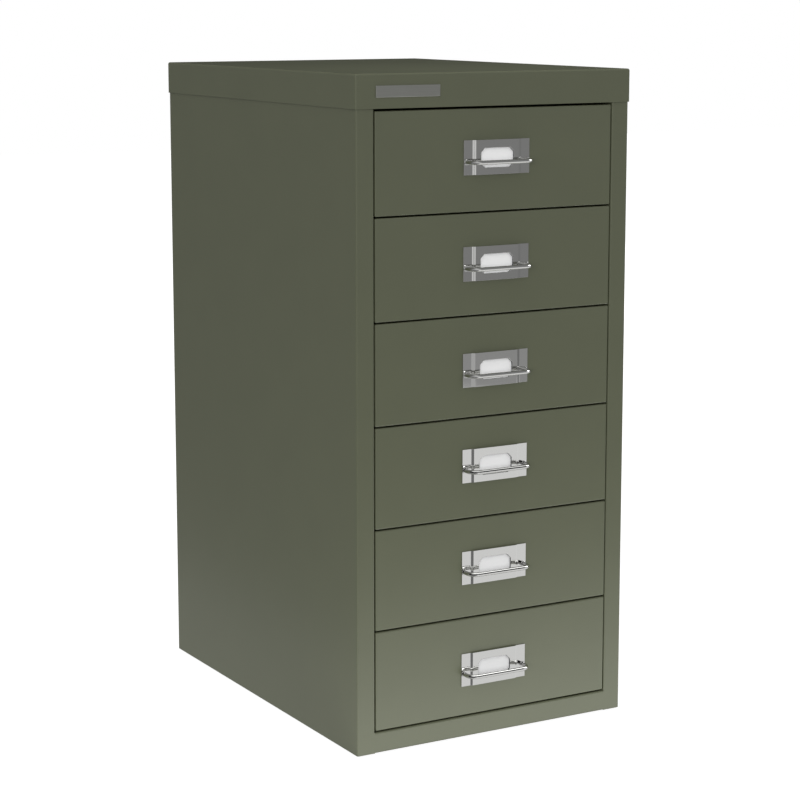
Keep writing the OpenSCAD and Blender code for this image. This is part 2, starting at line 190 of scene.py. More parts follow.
def powder_coat(name, light, dark, roughness):
    """Baked paint between two close colours, over a faint peel and a slow wave of the sheet."""
    material, tree, output, place = start_material(name)
    cloud = add_node(tree, "ShaderNodeTexNoise",
                     {"Vector": place, "Scale": 1 / (CLOUD_MM * MM), "Detail": 3})
    colour = add_node(tree, "ShaderNodeMix",
                      {"Factor": cloud.outputs["Fac"], "A": linear(dark), "B": linear(light)},
                      data_type="RGBA")
    wave = add_node(tree, "ShaderNodeTexNoise",
                    {"Vector": place, "Scale": 1 / (SHEET_WAVE_MM * MM), "Detail": 1})
    broad = add_node(tree, "ShaderNodeBump",
                     {"Height": wave.outputs["Fac"], "Distance": SHEET_WAVE_HEIGHT_MM * MM})
    peel = add_node(tree, "ShaderNodeTexNoise",
                    {"Vector": place, "Scale": 1 / (PEEL_MM * MM), "Detail": 1.5, "Roughness": 0.4})
    fine = add_node(tree, "ShaderNodeBump",
                    {"Height": peel.outputs["Fac"], "Distance": PEEL_HEIGHT_MM * MM,
                     "Normal": broad.outputs["Normal"]})
    paint = add_node(tree, "ShaderNodeBsdfPrincipled",
                     {"Base Color": colour.outputs["Result"], "Roughness": roughness,
                      "IOR": PAINT_IOR, "Normal": fine.outputs["Normal"]})
    tree.links.new(paint.outputs["BSDF"], output.inputs["Surface"])
    return material


olive_coat = powder_coat("olive_powder_coat", "#60644e", "#5c604b", 0.36)
inner_coat = powder_coat("thin_inner_powder_coat", "#5a5e4a", "#555945", 0.5)
print("made", olive_coat.name, "and", inner_coat.name)

# %% [markdown]
# ## Chrome
#
# The plates and pulls are pressed and bent steel, nickelled and chromed: a mirror with hardly any
# roughness. A plain mirror would look like glass, so fine polishing marks change its roughness
# from spot to spot, and a slight swell of the pressing bends what it reflects. It keeps the
# default index of refraction, because a metal's colour sets its gloss. The window's cut edge gets
# a dark metal of its own: partly a duller sheared edge, where plating hardly reaches, and partly
# painted shade for the shadowed gap between the plate and the card behind it.

# %% Chrome
CHROME_SWELL_MM = 24
CHROME_SWELL_HEIGHT_MM = 0.003
POLISH_MM = 0.9
POLISHED_ROUGHNESS = (0.03, 0.08)
SHEAR_LINE_MM = 0.3


def chrome_plate(name):
    """A polished mirror whose roughness and shape both vary a little."""
    material, tree, output, place = start_material(name)
    swell = add_node(tree, "ShaderNodeTexNoise",
                     {"Vector": place, "Scale": 1 / (CHROME_SWELL_MM * MM), "Detail": 1})
    bump = add_node(tree, "ShaderNodeBump",
                    {"Height": swell.outputs["Fac"], "Distance": CHROME_SWELL_HEIGHT_MM * MM})
    polish = add_node(tree, "ShaderNodeTexNoise",
                      {"Vector": place, "Scale": 1 / (POLISH_MM * MM), "Detail": 3})
    gloss = add_node(tree, "ShaderNodeMapRange",
                     {"Value": polish.outputs["Fac"], "To Min": POLISHED_ROUGHNESS[0],
                      "To Max": POLISHED_ROUGHNESS[1]})
    metal = add_node(tree, "ShaderNodeBsdfPrincipled",
                     {"Base Color": linear("#d4d4d2"), "Metallic": 1.0,
                      "Roughness": gloss.outputs["Result"], "Normal": bump.outputs["Normal"]})
    tree.links.new(metal.outputs["BSDF"], output.inputs["Surface"])
    return material


def cut_edge_with_painted_shade(name):
    """A dark grey edge with the fine lines of the cutting tool, its darkness partly painted shade.
    """
    material, tree, output, place = start_material(name)
    lines = add_node(tree, "ShaderNodeTexNoise",
                     {"Vector": place, "Scale": 1 / (SHEAR_LINE_MM * MM), "Detail": 2})
    # these dark greys are partly painted shade for the shadowed gap behind the cut edge
    tone = add_node(tree, "ShaderNodeMix",
                    {"Factor": lines.outputs["Fac"], "A": linear("#4c4d4e"),
                     "B": linear("#606162")},
                    data_type="RGBA")
    metal = add_node(tree, "ShaderNodeBsdfPrincipled",
                     {"Base Color": tone.outputs["Result"], "Metallic": 1.0, "Roughness": 0.4})
    tree.links.new(metal.outputs["BSDF"], output.inputs["Surface"])
    return material


bright_chrome = chrome_plate("bright_chrome_plate")
dark_edge_painted_shade = cut_edge_with_painted_shade("cut_chrome_edge_painted_shade")
print("made", bright_chrome.name, "and", dark_edge_painted_shade.name)

# %% [markdown]
# ## Card, nylon and rubber
#
# The card is matt white stock, with fibres that show only up close. Nylon is the milky natural
# grade, moulded, and rubber is black with a soft sheen. All three are plain dull materials with a
# grain, so one function makes them: noise moves the colour a little and raises the surface a
# little. A flat colour would do from afar, but looks like plastic film up close.

# %% Card, nylon and rubber
def grainy(name, light, dark, grain_mm, height_mm, roughness, ior):
    """A plain dull material with a grain: card fibres, or the texture of a mould."""
    material, tree, output, place = start_material(name)
    grain = add_node(tree, "ShaderNodeTexNoise",
                     {"Vector": place, "Scale": 1 / (grain_mm * MM), "Detail": 4})
    colour = add_node(tree, "ShaderNodeMix",
                      {"Factor": grain.outputs["Fac"], "A": linear(dark), "B": linear(light)},
                      data_type="RGBA")
    bump = add_node(tree, "ShaderNodeBump",
                    {"Height": grain.outputs["Fac"], "Distance": height_mm * MM})
    surface = add_node(tree, "ShaderNodeBsdfPrincipled",
                       {"Base Color": colour.outputs["Result"], "Roughness": roughness, "IOR": ior,
                        "Normal": bump.outputs["Normal"]})
    tree.links.new(surface.outputs["BSDF"], output.inputs["Surface"])
    return material


white_card = grainy("white_label_card", "#fbfbfb", "#f4f4f4", 0.6, 0.015, 0.85, 1.45)
natural_nylon = grainy("natural_moulded_nylon", "#e8e5da", "#dedacb", 1.2, 0.01, 0.45, 1.53)
black_rubber = grainy("black_moulded_rubber", "#303030", "#232323", 0.8, 0.03, 0.7, 1.52)
print("made", white_card.name, natural_nylon.name, black_rubber.name)

# %% [markdown]
# ## Brushed metal for the nameplate
#
# A belt drags fine lines along the plate, about a third of a millimetre apart, and they spread
# its gloss. An anisotropic shader would spread the gloss, but show no lines up close. Here noise is
# stretched sixty times along X, which does both.

# %% Brushed nameplate metal
BRUSH_MM = 0.35
BRUSH_STRETCH = 60
BRUSH_HEIGHT_MM = 0.01


def brushed_metal(name):
    """A satin metal with lines along X."""
    material, tree, output, place = start_material(name)
    along_x = add_node(tree, "ShaderNodeMapping",
                       {"Vector": place, "Scale": (1 / BRUSH_STRETCH, 1, 1)})
    lines = add_node(tree, "ShaderNodeTexNoise",
                     {"Vector": along_x.outputs["Vector"], "Scale": 1 / (BRUSH_MM * MM),
                      "Detail": 2})
    tone = add_node(tree, "ShaderNodeMix",
                    {"Factor": lines.outputs["Fac"], "A": linear("#bcbdb7"),
                     "B": linear("#cfd0ca")},
                    data_type="RGBA")
    bump = add_node(tree, "ShaderNodeBump",
                    {"Height": lines.outputs["Fac"], "Distance": BRUSH_HEIGHT_MM * MM})
    metal = add_node(tree, "ShaderNodeBsdfPrincipled",
                     {"Base Color": tone.outputs["Result"], "Metallic": 1.0, "Roughness": 0.38,
                      "Normal": bump.outputs["Normal"]})
    tree.links.new(metal.outputs["BSDF"], output.inputs["Surface"])
    return material


satin_metal = brushed_metal("brushed_satin_steel")
print("made", satin_metal.name)

# %% [markdown]
# ## The pieces that stay as they are
#
# The sides, the back, the floor pan, the uprights, the runners and the trays are folded sheet
# whose shape the CAD frame already holds exactly, and so it does for the small nylon and rubber
# pieces. They could be modelled again, but nothing would look better for it. So their nodes stay
# and only take their finish. The record says which slot each node belongs to.

# %% Finishes on the CAD nodes
FINISHES = {"olive_paint": olive_coat, "inner_paint": inner_coat, "chrome": bright_chrome,
            "card": white_card, "nylon": natural_nylon, "rubber": black_rubber,
            "satin_metal": satin_metal}

for part in frame["record"]["subparts"]:
    mesh = frame["nodes"][part["node"]].data
    mesh.materials.clear()
    mesh.materials.append(FINISHES[part["material_slot"]])

# %% [markdown]
# ## Helpers for modelling
#
# Every new piece starts from a primitive at its real size and place. It is then shaped in edit
# mode, where an operator works on whatever is selected, so one helper drops every selection first
# and another selects faces, edges or vertices by a test on their place or normal. Places that
# are nearer than a hair count as the same. Last, each piece is shaded smooth up to a clear angle,
# rides on its body and takes its node's place.

# %% Modelling helpers
HAIR = 0.1 * MM
FOLD_ANGLE = math.radians(20)
SMOOTH_ANGLE = math.radians(35)
CUT_EDGE_ANGLE = math.radians(50)


def nothing_selected():
    if bpy.context.object and bpy.context.object.mode != "OBJECT":
        bpy.ops.object.mode_set(mode="OBJECT")
    bpy.ops.object.select_all(action="DESELECT")


def only_selected(piece):
    nothing_selected()
    piece.select_set(True)
    bpy.context.view_layer.objects.active = piece


def settle(piece, name):
    """Names a new piece and moves its place, turn and size into its mesh."""
    piece.name = piece.data.name = name
    bpy.ops.object.transform_apply(location=True, rotation=True, scale=True)
    return piece


def block(name, low, high):
    """A box between two corners, ready to be shaped."""
    nothing_selected()
    bpy.ops.mesh.primitive_cube_add(size=1, location=(low + high) / 2, scale=high - low)
    return settle(bpy.context.object, name)


def select(piece, kind, test):
    """Goes to edit mode with the faces, edges or vertices selected that pass the test."""
    bpy.ops.object.mode_set(mode="EDIT")
    bpy.ops.mesh.select_mode(type=kind)
    bpy.ops.mesh.select_all(action="DESELECT")
    shape = bmesh.from_edit_mesh(piece.data)
    parts = {"VERT": shape.verts, "EDGE": shape.edges, "FACE": shape.faces}[kind]
    chosen = [part for part in parts if test(part)]
    for part in chosen:
        part.select_set(True)
    shape.select_flush_mode()
    bmesh.update_edit_mesh(piece.data)
    return len(chosen)


def centre(part):
    """The middle of a face or an edge."""
    return sum((v.co for v in part.verts), Vector()) / len(part.verts)


def is_fold(edge, least=FOLD_ANGLE):
    """An edge where two faces meet at a clear angle; an open edge counts as flat."""
    return edge.calc_face_angle(0) > least


def modify(piece, kind, **settings):
    """Adds a modifier to the active piece, sets it up and applies it."""
    bpy.ops.object.mode_set(mode="OBJECT")
    bpy.ops.object.modifier_add(type=kind)
    modifier = piece.modifiers[-1]
    for name, value in settings.items():
        setattr(modifier, name, value)
    bpy.ops.object.modifier_apply(modifier=modifier.name)


def dress(piece, body, slot, node):
    """Gives a finished piece its material and smooth folds, and puts it in its node's stead."""
    only_selected(piece)
    bpy.ops.object.shade_smooth_by_angle(angle=SMOOTH_ANGLE)
    modify(piece, "WEIGHTED_NORMAL", weight=100, keep_sharp=True)
    piece.data.materials.clear()
    piece.data.materials.append(FINISHES[slot])
    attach(piece, body)
    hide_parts(node)


def copy_of(piece, name, step):
    """A copy with a mesh of its own, moved by step."""
    only_selected(piece)
    bpy.ops.object.duplicate(linked=False)
    bpy.ops.transform.translate(value=step)
    return settle(bpy.context.object, name)


def for_each_drawer(first, node_end, piece_end, slot):
    """Puts the first drawer's piece, and copies of it, in the stead of one node of every drawer."""
    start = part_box(f"drawer_1_{node_end}")[0]
    steps = {n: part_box(f"drawer_{n}_{node_end}")[0] - start for n in DRAWERS}
    pieces = {n: first if n == 1 else copy_of(first, f"drawer_{n}_{piece_end}", steps[n])
              for n in DRAWERS}
    for n, piece in pieces.items():
        dress(piece, f"drawer_{n}", slot, f"drawer_{n}_{node_end}")
    print(piece_end, "x", len(pieces), "of", len(first.data.polygons), "faces")


print("folds count from", round(math.degrees(FOLD_ANGLE)), "degrees")

# %% [markdown]
# ## The lid
#
# The lid is one blank of 1 mm steel. Its four skirts are folded down, the corners are welded and
# ground, and the paint rounds them further, so all the outer edges share a radius of 1.8 mm. It
# could be a solid slab, but then the sheet's edge would be missing from below. So a box without
# its floor is the blank, a bevel makes the folds, and a solidify gives the sheet its thickness on
# the inside.

# %% Lid
SHEET_MM = 1.0
LID_EDGE_MM = 1.8
CUT_EDGE_MM = 0.15

lid = block("lid", *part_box("top_cap"))
select(lid, "FACE", lambda face: face.normal.z < -0.5)
bpy.ops.mesh.delete(type="FACE")
folds = select(lid, "EDGE", is_fold)
bpy.ops.mesh.bevel(offset=LID_EDGE_MM * MM, segments=5, affect="EDGES")
modify(lid, "SOLIDIFY", thickness=SHEET_MM * MM, offset=-1, use_even_offset=True)
modify(lid, "BEVEL", width=CUT_EDGE_MM * MM, segments=2, angle_limit=CUT_EDGE_ANGLE)
dress(lid, "case", "olive_paint", "top_cap")
print("lid:", folds, "folds,", len(lid.data.polygons), "faces")

# %% [markdown]
# ## Drawer fronts
#
# A drawer front is a shallow pan, pressed from 0.8 mm sheet, with a rim folded in at the back
# that the tray is welded to. It could be folded up from a flat blank, edge by edge. It is quicker
# to inset the back of a box by the rim's width, open it, bevel all the folds and give the sheet
# its thickness inward, and the result is the same. One is modelled and copied five times.

# %% Drawer fronts
DRAWER_SHEET_MM = 0.8
FRONT_EDGE_MM = 1.2
FRONT_RIM_MM = 18

front = block("drawer_1_front_pan", *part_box("drawer_1_front"))
select(front, "FACE", lambda face: face.normal.y > 0.5)
bpy.ops.mesh.inset(thickness=FRONT_RIM_MM * MM)
bpy.ops.mesh.delete(type="FACE")
select(front, "EDGE", is_fold)
bpy.ops.mesh.bevel(offset=FRONT_EDGE_MM * MM, segments=4, affect="EDGES")
modify(front, "SOLIDIFY", thickness=DRAWER_SHEET_MM * MM, offset=-1, use_even_offset=True)
for_each_drawer(front, "front", "front_pan", "olive_paint")

# %% [markdown]
# ## Handle plates
#
# The plate is a strip of chromed sheet. Its middle is pressed forward to make room for a card; its
# flat ends take the pull. It could be a solid that is cut away, but a pressed sheet is easier to
# get right as a sheet: a plane is cut across at the folds, the middle is moved forward, the folds
# are rounded, and the lower edge is turned back as a lip that keeps the card in.

# %% Handle plates
PLATE_SHEET_MM = 0.8
PLATE_END_MM = 8.9
PLATE_SLOPE_MM = 2.4
PRESS_RADIUS_MM = 0.6

low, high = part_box("drawer_1_handle_plate")
width, height = high.x - low.x, high.z - low.z
end_face_y = high.y - PLATE_SHEET_MM * MM
rise = end_face_y - low.y
lip_depth = rise + PLATE_SHEET_MM * MM / 2
fold_out = width / 2 - PLATE_END_MM * MM
fold_in = fold_out - PLATE_SLOPE_MM * MM

nothing_selected()
bpy.ops.mesh.primitive_plane_add(size=1, location=(0, end_face_y, (low.z + high.z) / 2),
                                 rotation=(math.radians(90), 0, 0))
bpy.context.object.scale = (width, height, 1)
plate = settle(bpy.context.object, "drawer_1_label_plate")
for x in (-fold_out, -fold_in, fold_in, fold_out):
    select(plate, "FACE", lambda face: True)
    bpy.ops.mesh.bisect(plane_co=(x, 0, 0), plane_no=(1, 0, 0))
select(plate, "FACE", lambda face: abs(centre(face).x) < fold_in)
bpy.ops.transform.translate(value=(0, -rise, 0))
select(plate, "EDGE", is_fold)
bpy.ops.mesh.bevel(offset=PRESS_RADIUS_MM * MM, segments=3, affect="EDGES")
select(plate, "EDGE", lambda edge: abs(centre(edge).x) < fold_in / 2
       and centre(edge).z < low.z + HAIR)
bpy.ops.mesh.extrude_edges_move(TRANSFORM_OT_translate={"value": (0, lip_depth, 0)})
print("plate", round(width / MM, 1), "x", round(height / MM, 1), "mm, raised",
      round(rise / MM, 2))

# %% [markdown]
# ## The window in the plate
#
# The window is punched with cut corners, and its edge is drawn back towards the card in a small
# round lip. A boolean cut would leave long thin faces round the hole. Here the middle face is inset
# instead, the inset's upper and lower sides are moved to their heights, its corners are cut, and
# the face is taken out. Its bare edges are then drawn back and their turn is rounded.

# %% Window in the plate
WINDOW_SIDE_MM = 4.85
WINDOW_TOP_MM = 7
WINDOW_BOTTOM_MM = 6
WINDOW_CUT_MM = 4
WINDOW_LIP_RADIUS_MM = 0.3
CARD_PLAY_MM = 0.05
STEEP_TURN = math.radians(80)


def is_middle(face):
    """A face of the raised middle that looks forward."""
    return abs(centre(face).x) < fold_in / 2 and face.normal.y < -0.9


def in_window(vert, z):
    """A corner of the window that lies at this height."""
    return abs(vert.co.z - z) < HAIR and abs(vert.co.x) < fold_in - WINDOW_SIDE_MM * MM / 2


def by_window(edge):
    """An edge by the window, clear of the plate's own upper and lower edges."""
    at = centre(edge)
    return abs(at.x) < window_x + HAIR and low.z + MM < at.z < high.z - MM


select(plate, "FACE", is_middle)
bpy.ops.mesh.inset(thickness=WINDOW_SIDE_MM * MM)
window_low = low.z + WINDOW_SIDE_MM * MM
window_high = high.z - WINDOW_SIDE_MM * MM
window_x = fold_in - WINDOW_SIDE_MM * MM
select(plate, "VERT", lambda vert: in_window(vert, window_high))
bpy.ops.transform.translate(value=(0, 0, (WINDOW_SIDE_MM - WINDOW_TOP_MM) * MM))
select(plate, "VERT", lambda vert: in_window(vert, window_low))
bpy.ops.transform.translate(value=(0, 0, (WINDOW_BOTTOM_MM - WINDOW_SIDE_MM) * MM))
heights = (low.z + WINDOW_BOTTOM_MM * MM, high.z - WINDOW_TOP_MM * MM)
corners = select(plate, "VERT", lambda vert: any(in_window(vert, z) for z in heights))
bpy.ops.mesh.bevel(offset=WINDOW_CUT_MM * MM, segments=1, affect="VERTICES")
select(plate, "FACE", lambda face: is_middle(face) and abs(centre(face).x) < MM
       and abs(centre(face).z - sum(heights) / 2) < MM)
bpy.ops.mesh.delete(type="FACE")
sides = select(plate, "EDGE", lambda edge: edge.is_boundary and by_window(edge))
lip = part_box("drawer_1_label_card")[0].y - CARD_PLAY_MM * MM - low.y
bpy.ops.mesh.extrude_edges_move(TRANSFORM_OT_translate={"value": (0, lip, 0)})
select(plate, "EDGE", lambda edge: is_fold(edge, STEEP_TURN) and by_window(edge)
       and abs(centre(edge).y - low.y) < HAIR)
bpy.ops.mesh.bevel(offset=WINDOW_LIP_RADIUS_MM * MM, segments=2, affect="EDGES")
print("window of", sides, "sides and", corners, "cut corners, its lip", round(lip / MM, 2), "mm")
modify(plate, "SOLIDIFY", thickness=PLATE_SHEET_MM * MM, offset=-1, use_even_offset=True)
modify(plate, "BEVEL", width=CUT_EDGE_MM * MM, segments=2, angle_limit=CUT_EDGE_ANGLE)
for_each_drawer(plate, "handle_plate", "label_plate", "chrome")

# %% [markdown]
# ## The darkened edge round the window
#
# Seen from the side, the window's cut edge is a thin dark line against the bright plate. That line
# is partly duller sheared steel and partly the shadowed gap to the card, so its dark material is
# partly painted shade. It could be a piece of its own, but on the real plate it is the same sheet.
# So the few faces that are seen edge-on from the front take the second material.

# %% Darkened edge round the window, partly painted shade
EDGE_ON = 0.2
CLEAR_OF_RIM_MM = 3

for n in DRAWERS:
    plate = bpy.data.objects[f"drawer_{n}_label_plate"]
    # the dark edge material, partly painted shade, goes on the edge-on faces as a second slot
    plate.data.materials.append(dark_edge_painted_shade)
    low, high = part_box(f"drawer_{n}_handle_plate")
    lowest, highest = low.z + CLEAR_OF_RIM_MM * MM, high.z - CLEAR_OF_RIM_MM * MM
    edge_faces = [face for face in plate.data.polygons
                  if abs(face.normal.y) < EDGE_ON and abs(face.center.x) < window_x + HAIR
                  and lowest < face.center.z < highest]
    for face in edge_faces:
        face.material_index = 1
print("dull faces on each plate", len(edge_faces))

# %% [markdown]
# ## Pulls
#
# A pull is one length of 3.8 mm wire, bent twice and pushed through the plate and the front. A
# curve with a round bevel would give the same tube, but it has to be turned into a mesh, and its
# ends into flat faces. Here a ring of points is drawn out along the first arm, spun through the
# corner, drawn across and back the same way, which keeps the wire truly round through its bends.

# %% Pulls
WIRE_MM = 3.8
BEND_MM = 8
HEAD_MM = 7
HEAD_T_MM = 1.2
WIRE_SIDES = 24
BEND_STEPS = 10

low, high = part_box("drawer_1_pull")
reach_x = (high.x - low.x) / 2 - HEAD_MM * MM / 2
bar_y = low.y + WIRE_MM * MM / 2
bend_y = bar_y + BEND_MM * MM
pull_z = (low.z + high.z) / 2
inner_end_y = high.y - HEAD_T_MM * MM / 2
bend_x = reach_x - BEND_MM * MM

nothing_selected()
bpy.ops.mesh.primitive_circle_add(vertices=WIRE_SIDES, radius=WIRE_MM * MM / 2,
                                  location=(-reach_x, inner_end_y, pull_z),
                                  rotation=(math.radians(90), 0, 0))
pull = settle(bpy.context.object, "drawer_1_wire_pull")
select(pull, "EDGE", lambda edge: True)
bpy.ops.mesh.extrude_edges_move(TRANSFORM_OT_translate={"value": (0, bend_y - inner_end_y, 0)})
bpy.ops.mesh.spin(steps=BEND_STEPS, angle=-math.pi / 2, center=(-bend_x, bend_y, pull_z),
                  axis=(0, 0, 1))
bpy.ops.mesh.extrude_edges_move(TRANSFORM_OT_translate={"value": (2 * bend_x, 0, 0)})
bpy.ops.mesh.spin(steps=BEND_STEPS, angle=-math.pi / 2, center=(bend_x, bend_y, pull_z),
                  axis=(0, 0, 1))
bpy.ops.mesh.extrude_edges_move(TRANSFORM_OT_translate={"value": (0, inner_end_y - bend_y, 0)})
for side in (-1, 1):
    select(pull, "EDGE", lambda edge: edge.is_boundary and edge.verts[0].co.x * side > 0)
    bpy.ops.mesh.edge_face_add()
print("wire of", len(bmesh.from_edit_mesh(pull.data).faces), "faces")

# %% [markdown]
# ## Collars and riveted heads
#
# A collar on each arm of the pull holds the plate, and behind the front the wire's end is riveted
# over to a flat head. Both could be spun from a profile. They are so short that four cylinders
# with soft rims, added to the same mesh, give the same shape.

# %% Collars and riveted heads
COLLAR_MM = 5.2
COLLAR_T_MM = 0.8
COLLAR_SIDES = 32
RIM_ROUND_MM = 0.25
RIM_ANGLE = math.radians(60)


def off_arm(vert):
    """How far a point of the pull lies from the middle of the arm of wire on its side."""
    return (vert.co - Vector((math.copysign(reach_x, vert.co.x), vert.co.y, pull_z))).length


for across, depth, y in ((COLLAR_MM, COLLAR_T_MM, end_face_y - COLLAR_T_MM * MM / 2),
                         (HEAD_MM, HEAD_T_MM, high.y - HEAD_T_MM * MM / 2)):
    for side in (-1, 1):
        bpy.ops.mesh.primitive_cylinder_add(vertices=COLLAR_SIDES, radius=across * MM / 2,
                                            depth=depth * MM, location=(side * reach_x, y, pull_z),
                                            rotation=(math.radians(90), 0, 0))
outside_wire = 0.6 * WIRE_MM * MM
select(pull, "EDGE", lambda edge: is_fold(edge, RIM_ANGLE)
       and off_arm(edge.verts[0]) > outside_wire)
bpy.ops.mesh.bevel(offset=RIM_ROUND_MM * MM, segments=3, affect="EDGES")
select(pull, "FACE", lambda face: True)
bpy.ops.mesh.normals_make_consistent(inside=False)
for_each_drawer(pull, "pull", "wire_pull", "chrome")

# %% [markdown]
# ## Label cards
#
# The card is stiff white stock, die-cut with round corners, that slips into the pocket from above.
# It could be a plane with a thickness. A thin box with its four corners rounded is the same shape
# in fewer steps, and the window shows only its middle.

# %% Label cards
CARD_CORNER_MM = 1.5

card = block("drawer_1_card", *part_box("drawer_1_label_card"))
select(card, "EDGE", lambda edge: abs((edge.verts[0].co - edge.verts[1].co).y) > HAIR)
bpy.ops.mesh.bevel(offset=CARD_CORNER_MM * MM, segments=4, affect="EDGES")
for_each_drawer(card, "label_card", "card", "card")

# %% [markdown]
# ## Nameplate
#
# The lid's front carries a small flat plate, glued on and left blank. A stamped plate is tumbled
# until its edges are soft. It could be an inset of the lid, but it is a piece and a metal of its
# own, so it is a thin box whose front edges are rounded while the back stays sharp.

# %% Nameplate
BADGE_EDGE_MM = 0.4

badge = block("blank_nameplate", *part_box("nameplate"))
back_of_badge = max(v.co.y for v in badge.data.vertices)
select(badge, "EDGE", lambda edge: centre(edge).y < back_of_badge - HAIR)
bpy.ops.mesh.bevel(offset=BADGE_EDGE_MM * MM, segments=3, affect="EDGES")
dress(badge, "case", "satin_metal", "nameplate")
print("nameplate of", len(badge.data.polygons), "faces")

# %% [markdown]
# ## Floor
#
# The cabinet stands on a white floor that runs out of sight. A floor that is lit until it looks
# white would also flood the cabinet from below. So this one is white to the camera alone: most of
# its light is its own, and the rest comes from the lamps and the sky, so that it keeps the
# cabinet's shadow. What the cabinet itself sees of it is dimmer.

# %% Floor
FLOOR_SIDE = 14
FLOOR_OWN_LIGHT = 0.93
FLOOR_LIT_COLOUR = "#8a8a8a"
FLOOR_SEEN_BY_OBJECT = 0.2

nothing_selected()
bpy.ops.mesh.primitive_plane_add(size=FLOOR_SIDE, location=(0, 0, 0))
floor = settle(bpy.context.object, "floor")
material, tree, output, _ = start_material("white_studio_floor")
rays = add_node(tree, "ShaderNodeLightPath")
own = add_node(tree, "ShaderNodeEmission", {"Strength": FLOOR_OWN_LIGHT})
lit = add_node(tree, "ShaderNodeBsdfDiffuse", {"Color": linear(FLOOR_LIT_COLOUR)})
seen = add_node(tree, "ShaderNodeAddShader", {0: own.outputs["Emission"], 1: lit.outputs["BSDF"]})
dim = add_node(tree, "ShaderNodeEmission", {"Strength": FLOOR_SEEN_BY_OBJECT})
floor_look = add_node(tree, "ShaderNodeMixShader",
                      {0: rays.outputs["Is Camera Ray"], 1: dim.outputs["Emission"],
                       2: seen.outputs["Shader"]})
tree.links.new(floor_look.outputs["Shader"], output.inputs["Surface"])
floor.data.materials.append(material)
floor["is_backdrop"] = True
print("floor of", FLOOR_SIDE, "m")

# %% [markdown]
# ## Who is lit by what
#
# In a studio, paint, chrome and card would be lit one after the other and put together later.
# Light linking does that in one picture: a lamp or a glowing sheet can be told to light some
# pieces only, or all but some. Each group of pieces is a collection that isn't in the scene.

# %% Light links
LOW_DRAWERS = (4, 5, 6)


def drawer_pieces(endings, drawers=DRAWERS):
    """The visible pieces whose names end so, on these drawers."""
    return [bpy.data.objects[f"drawer_{n}_{ending}"] for ending in endings for n in drawers]


def link_group(name, pieces, state):
    """A collection that tells a lamp or a board to light these pieces only, or all but these."""
    group = bpy.data.collections.new(name)
    for piece in pieces:
        group.objects.link(piece)
    for entry in group.collection_objects:
        entry.light_linking.link_state = state
    print(name, len(pieces), "pieces,", state)
    return group


ALL_BUT_HANDLES = link_group("all_but_handles",
                             drawer_pieces(("label_plate", "wire_pull", "card")), "EXCLUDE")
CHROME_ONLY = link_group("chrome_only", drawer_pieces(("label_plate", "wire_pull")), "INCLUDE")
PULLS_ONLY = link_group("pulls_only", drawer_pieces(("wire_pull",)), "INCLUDE")
CARDS_ONLY = link_group("cards_only", drawer_pieces(("card",)), "INCLUDE")
ALL_BUT_LOW_PULLS = link_group("all_but_low_pulls", drawer_pieces(("wire_pull",), LOW_DRAWERS),
                               "EXCLUDE")
LID_ONLY = link_group("lid_only", [lid], "INCLUDE")

# %% [markdown]
# ## Boards on the floor
#
# A photographer lifts the lower part of a tall object with boards laid in front of it. They would
# also burn out the cards and the chrome above them, so they are kept off the handles. A board
# could be an area lamp, but in a reflection a lamp hides what lies behind it. Each board here is a
# sheet that adds its glow to the floor behind it instead, and the camera doesn't see it.

# %% Boards
CASE_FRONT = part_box("left_side_panel")[0].y
FLOOR_BOARDS = {"front_near": ((-0.45, 1.2), (-0.33, CASE_FRONT - MM), 1.2),
                "front_mid": ((-0.45, 1.4), (-0.55, -0.33), 0.9),
                "left_near": ((-0.3, -0.139), (-0.19, 1.2), 0.26)}
BOARD_Z = 0.6 * MM


def board(name, corners, level, receivers, reflected_only=True):
    """A sheet through four corners that adds a glow on its upper side, for its receivers alone."""
    nothing_selected()
    bpy.ops.mesh.primitive_plane_add(size=1)
    sheet = settle(bpy.context.object, name)
    for vert, corner in zip(sheet.data.vertices, corners):
        vert.co = corner
    material, tree, output, _ = start_material(name + "_glow")
    glow = add_node(tree, "ShaderNodeEmission", {"Strength": level})
    clear = add_node(tree, "ShaderNodeBsdfTransparent")
    both = add_node(tree, "ShaderNodeAddShader",
                    {0: glow.outputs["Emission"], 1: clear.outputs["BSDF"]})
    far_side = add_node(tree, "ShaderNodeNewGeometry").outputs["Backfacing"]
    look = add_node(tree, "ShaderNodeMixShader",
                    {0: far_side, 1: both.outputs["Shader"], 2: clear.outputs["BSDF"]})
    tree.links.new(look.outputs["Shader"], output.inputs["Surface"])
    sheet.data.materials.append(material)
    sheet.visible_camera = sheet.visible_shadow = sheet.visible_transmission = False
    sheet.visible_diffuse = not reflected_only
    sheet.light_linking.receiver_collection = receivers
    sheet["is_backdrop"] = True
    return sheet


def flat(xs, ys, z):
    """The four corners of a level rectangle, in the order in which a new plane has them."""
    return [(x, y, z) for y in ys for x in xs]


for name, (xs, ys, level) in FLOOR_BOARDS.items():
    board("floor_board_" + name, flat(xs, ys, BOARD_Z), level, ALL_BUT_HANDLES,
          reflected_only=False)
print("boards", ", ".join(FLOOR_BOARDS))

# %% [markdown]
# ## What the chrome reflects
#
# Chrome has no colour of its own: it is drawn by what stands around it. Low down, the plates show
# a bright floor in front and to the right, up to a clear line; beyond it the floor is grey, so the
# upper plates are dark. Over each of the three lower pulls hangs a small card that glows
# downward and draws the light line along the wire. A panel behind at the right puts the white spot
# in the bend of each pull, and a wide weak one far in front lifts the greys of the plates. All of
# it could be painted on a picture of a studio. A few sheets are easier to move, and they are seen
# by the chrome alone.

